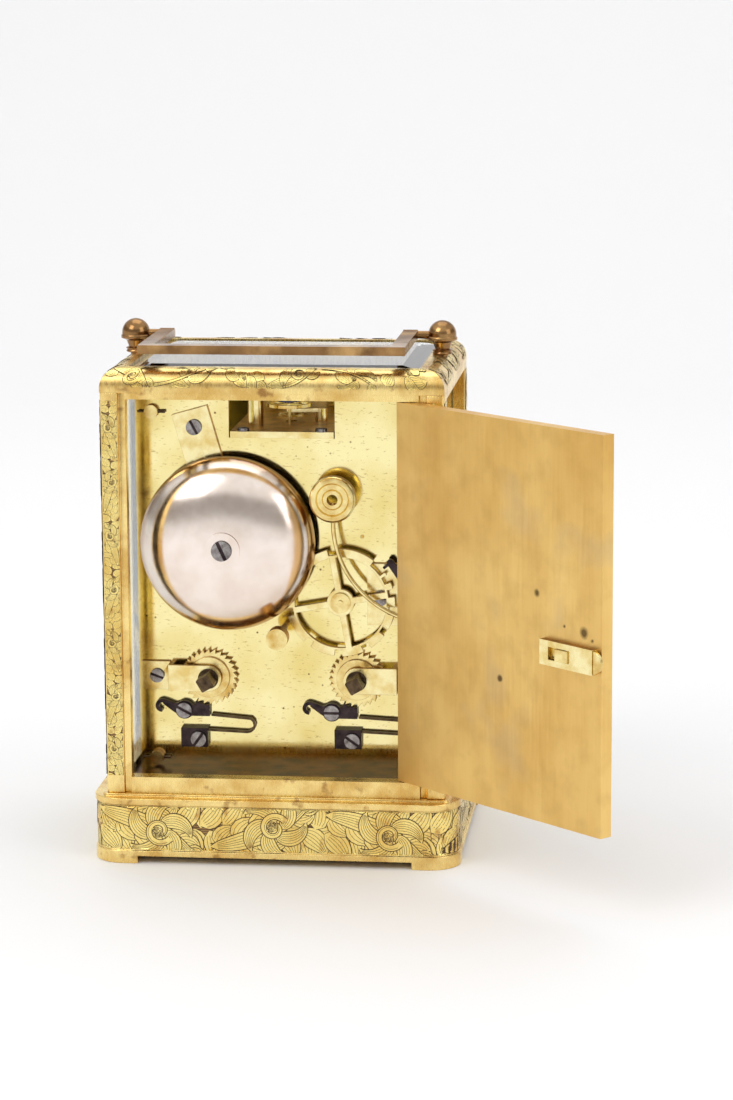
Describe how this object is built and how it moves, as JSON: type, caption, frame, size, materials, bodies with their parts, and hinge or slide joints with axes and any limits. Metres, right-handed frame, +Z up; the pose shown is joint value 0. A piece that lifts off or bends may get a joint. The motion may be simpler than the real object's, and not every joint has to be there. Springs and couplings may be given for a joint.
{
  "type": "carriage_clock",
  "caption": "Gilt brass carriage clock with an engraved case and its rear door open on a bell-striking movement",
  "frame": {"origin": "Middle of the base, on the surface that the four feet stand on", "axes": "+Z up, -Y out of the dial, +Y out of the rear door, +X to the left as seen from behind"},
  "size_m": [0.1338, 0.1239, 0.1352],
  "materials": {
    "gilt_case": "gilded, engraved and worn",
    "dark_brass": "darkened",
    "brass_work": "polished and lacquered",
    "bell_metal": "silvery bell metal, polished",
    "steel_work": "hardened and polished",
    "blued_steel": "heat blued",
    "dial_enamel": "white enamel",
    "clear_glass": "clear and bevelled"
  },
  "bodies": {
    "case": {"base_plinth": "gilt_case", "base_cover": "gilt_case", "floor_plate": "dark_brass", "corner_pillars": "gilt_case", "frame_rails": "gilt_case", "top_cornice": "gilt_case", "glass_left": "clear_glass", "glass_right": "clear_glass", "glass_front": "clear_glass", "glass_top": "clear_glass", "finials": "dark_brass", "door_pivots": "brass_work", "back_plate": "brass_work", "front_plate": "brass_work", "plate_pillars": "brass_work", "taper_pins": "steel_work", "movement_screws": "steel_work", "bell": "bell_metal", "bell_stand": "brass_work", "detent_cock": "brass_work", "winding_bridges": "brass_work", "spring_blocks": "steel_work", "going_click_spring": "steel_work", "strike_click_spring": "steel_work", "platform_plate": "brass_work", "platform_cocks": "brass_work", "dial": "dial_enamel", "dial_mask": "gilt_case"},
    "handle": {"carrying_handle": "dark_brass"},
    "door": {"rear_door": "gilt_case", "catch_housing": "brass_work"},
    "catch": {"catch_bolt": "dark_brass"},
    "hammer": {"hammer_arbor": "brass_work", "hammer_head": "brass_work"},
    "detent": {"detent_lever": "steel_work"},
    "going_winding": {"going_arbor": "steel_work", "going_ratchet": "brass_work"},
    "strike_winding": {"strike_arbor": "steel_work", "strike_ratchet": "brass_work"},
    "going_click_body": {"going_click": "steel_work"},
    "strike_click_body": {"strike_click": "steel_work"},
    "setting": {"set_arbor": "brass_work"},
    "minute": {"cannon_pinion": "steel_work", "minute_hand": "blued_steel"},
    "hour": {"hour_wheel": "brass_work", "hour_hand": "blued_steel"},
    "balance": {"balance_wheel": "brass_work", "hairspring": "blued_steel"},
    "going_drum": {"going_barrel": "brass_work"},
    "intermediate": {"intermediate_wheel": "brass_work"},
    "centre": {"centre_wheel": "brass_work"},
    "third": {"third_wheel": "brass_work"},
    "contrate": {"contrate_wheel": "brass_work"},
    "escape": {"escape_wheel": "brass_work"},
    "strike_drum": {"strike_barrel": "brass_work"},
    "count": {"count_wheel": "brass_work", "count_arbor": "brass_work"},
    "pins": {"pin_wheel": "brass_work"},
    "locking": {"locking_wheel": "brass_work"},
    "fly_body": {"fly": "brass_work"}
  },
  "joints": [
    {"name": "door_hinge", "type": "hinge", "parent": "case", "child": "door", "pos_m": [-0.0344, 0.0332, 0.0704], "axis": [0, 0, 1], "range_deg": [-136.4, 2]},
    {"name": "catch_slide", "type": "slide", "parent": "door", "child": "catch", "axis": [-0.7242, 0.6896, 0], "range_m": [-0.0026, 0], "stiffness_N_per_m": 200},
    {"name": "handle_pivot", "type": "hinge", "parent": "case", "child": "handle", "pos_m": [0, 0, 0.1314], "axis": [1, 0, 0], "range_deg": [0, 180]},
    {"name": "hammer_swing", "type": "hinge", "parent": "case", "child": "hammer", "pos_m": [-0.033, 0.015, 0.0575], "axis": [0, 1, 0], "range_deg": [-9, 2], "stiffness_Nm_per_rad": 0.004},
    {"name": "detent_lift", "type": "hinge", "parent": "case", "child": "detent", "pos_m": [-0.0334, 0.015, 0.0673], "axis": [0, -1, 0], "range_deg": [-7, 8]},
    {"name": "going_wind", "type": "hinge", "parent": "case", "child": "going_winding", "pos_m": [0.0192, 0.015, 0.0443], "axis": [0, 1, 0], "continuous": true},
    {"name": "strike_wind", "type": "hinge", "parent": "case", "child": "strike_winding", "pos_m": [-0.0192, 0.015, 0.0443], "axis": [0, 1, 0], "continuous": true},
    {"name": "going_click_lift", "type": "hinge", "parent": "case", "child": "going_click_body", "pos_m": [0.0259, 0.016, 0.0354], "axis": [0, 1, 0], "range_deg": [-10, 0], "stiffness_Nm_per_rad": 0.0005},
    {"name": "strike_click_lift", "type": "hinge", "parent": "case", "child": "strike_click_body", "pos_m": [-0.0125, 0.016, 0.0354], "axis": [0, 1, 0], "range_deg": [-10, 0], "stiffness_Nm_per_rad": 0.0005},
    {"name": "set_turn", "type": "hinge", "parent": "case", "child": "setting", "pos_m": [0, 0.015, 0.057], "axis": [0, 1, 0], "continuous": true},
    {"name": "minute_turn", "type": "hinge", "parent": "case", "child": "minute", "pos_m": [0, -0.0218, 0.072], "axis": [0, 1, 0], "continuous": true},
    {"name": "hour_turn", "type": "hinge", "parent": "case", "child": "hour", "pos_m": [0, -0.024, 0.072], "axis": [0, 1, 0], "continuous": true},
    {"name": "balance_swing", "type": "hinge", "parent": "case", "child": "balance", "pos_m": [0, 0.0002, 0.113], "axis": [0, 0, 1], "range_deg": [-150, 150], "stiffness_Nm_per_rad": 0.000001},
    {"name": "third_turn", "type": "hinge", "parent": "case", "child": "third", "pos_m": [0.00298, 0, 0.08424], "axis": [0, 1, 0], "continuous": true},
    {"name": "centre_turn", "type": "hinge", "parent": "case", "child": "centre", "pos_m": [0, 0, 0.072], "axis": [0, 1, 0], "continuous": true},
    {"name": "intermediate_turn", "type": "hinge", "parent": "case", "child": "intermediate", "pos_m": [0.01394, 0, 0.06413], "axis": [0, 1, 0], "continuous": true},
    {"name": "going_barrel_turn", "type": "hinge", "parent": "case", "child": "going_drum", "pos_m": [0.0192, 0, 0.0443], "axis": [0, 1, 0], "continuous": true},
    {"name": "contrate_turn", "type": "hinge", "parent": "case", "child": "contrate", "pos_m": [0, 0, 0.094], "axis": [0, 1, 0], "continuous": true},
    {"name": "escape_turn", "type": "hinge", "parent": "case", "child": "escape", "pos_m": [0, -0.0042, 0.108], "axis": [0, 0, 1], "continuous": true},
    {"name": "locking_turn", "type": "hinge", "parent": "case", "child": "locking", "pos_m": [-0.02047, 0, 0.0813], "axis": [0, 1, 0], "continuous": true},
    {"name": "pin_turn", "type": "hinge", "parent": "case", "child": "pins", "pos_m": [-0.0247, 0, 0.0718], "axis": [0, 1, 0], "continuous": true},
    {"name": "count_turn", "type": "hinge", "parent": "case", "child": "count", "pos_m": [-0.0152, 0, 0.0647], "axis": [0, 1, 0], "continuous": true},
    {"name": "strike_barrel_turn", "type": "hinge", "parent": "case", "child": "strike_drum", "pos_m": [-0.0192, 0, 0.0443], "axis": [0, 1, 0], "continuous": true},
    {"name": "fly_turn", "type": "hinge", "parent": "case", "child": "fly_body", "pos_m": [-0.01808, 0, 0.0891], "axis": [0, 1, 0], "continuous": true}
  ],
  "couplings": [
    {"joint": "minute_turn", "follows": "set_turn", "ratio": -3},
    {"joint": "hour_turn", "follows": "set_turn", "ratio": -0.25},
    {"joint": "third_turn", "follows": "contrate_turn", "ratio": -0.13333},
    {"joint": "centre_turn", "follows": "contrate_turn", "ratio": 0.016667},
    {"joint": "intermediate_turn", "follows": "contrate_turn", "ratio": -0.0037037},
    {"joint": "going_barrel_turn", "follows": "contrate_turn", "ratio": 0.00046296},
    {"joint": "escape_turn", "follows": "contrate_turn", "ratio": 7.5},
    {"joint": "pin_turn", "follows": "locking_turn", "ratio": -0.11111},
    {"joint": "count_turn", "follows": "locking_turn", "ratio": 0.011111},
    {"joint": "strike_barrel_turn", "follows": "locking_turn", "ratio": -0.0022222},
    {"joint": "fly_turn", "follows": "locking_turn", "ratio": -7.5}
  ]
}
